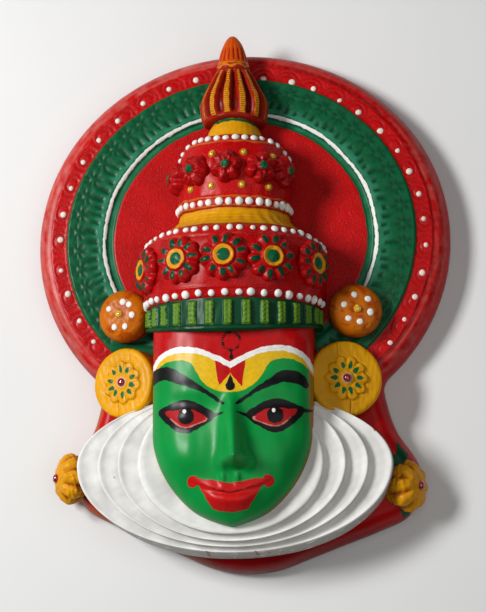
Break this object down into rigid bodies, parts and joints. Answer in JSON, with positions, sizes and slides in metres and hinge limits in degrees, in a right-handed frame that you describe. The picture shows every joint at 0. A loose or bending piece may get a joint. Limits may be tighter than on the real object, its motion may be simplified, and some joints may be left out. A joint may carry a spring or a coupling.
{
  "type": "kathakali theatre mask",
  "caption": "Carved and painted wooden wall mask: green theatre face under a tiered jewelled crown with a finial, set on a round halo board with a flared white collar below.",
  "frame": {"origin": "on the flat back, behind the centre of the round halo", "axes": "+X to the viewer's right, +Y towards the crown's tip, +Z out of the face away from the wall"},
  "size_m": [0.2998, 0.3855, 0.0993],
  "materials": {
    "board_paint": "gloss red, green and white enamel over carved wood",
    "crown_paint": "gloss red enamel with yellow, green and white detail over carved wood",
    "finial_paint": "red and yellow-orange enamel, worn in the grooves",
    "face_paint": "gloss green enamel with painted brows, eyes and lips",
    "white_paint": "semi-gloss white enamel, brushed, with small chips",
    "disc_paint": "gloss yellow enamel, fine cracks along the grain",
    "dome_paint": "orange enamel with white dots",
    "flower_paint": "yellow-orange enamel, red-brown in the creases",
    "red_stone": "dark red faceted glass stone",
    "yellow_stone": "yellow faceted glass stone"
  },
  "bodies": {
    "root": {"backboard": "board_paint", "crown": "crown_paint", "finial": "finial_paint", "face": "face_paint", "chutti": "white_paint", "ear_disc_left": "disc_paint", "ear_disc_right": "disc_paint", "ear_dome_left": "dome_paint", "ear_dome_right": "dome_paint", "side_flower_left": "flower_paint", "side_flower_right": "flower_paint", "ear_disc_gem_left": "red_stone", "ear_disc_gem_right": "red_stone", "ear_dome_gem_left": "yellow_stone", "ear_dome_gem_right": "yellow_stone", "side_flower_gem_left": "red_stone", "side_flower_gem_right": "red_stone", "crown_gem_1": "yellow_stone", "crown_gem_2": "yellow_stone", "crown_gem_3": "yellow_stone", "crown_gem_4": "yellow_stone", "crown_gem_5": "yellow_stone", "crown_gem_6": "yellow_stone", "crown_gem_7": "yellow_stone"}
  },
  "joints": []
}
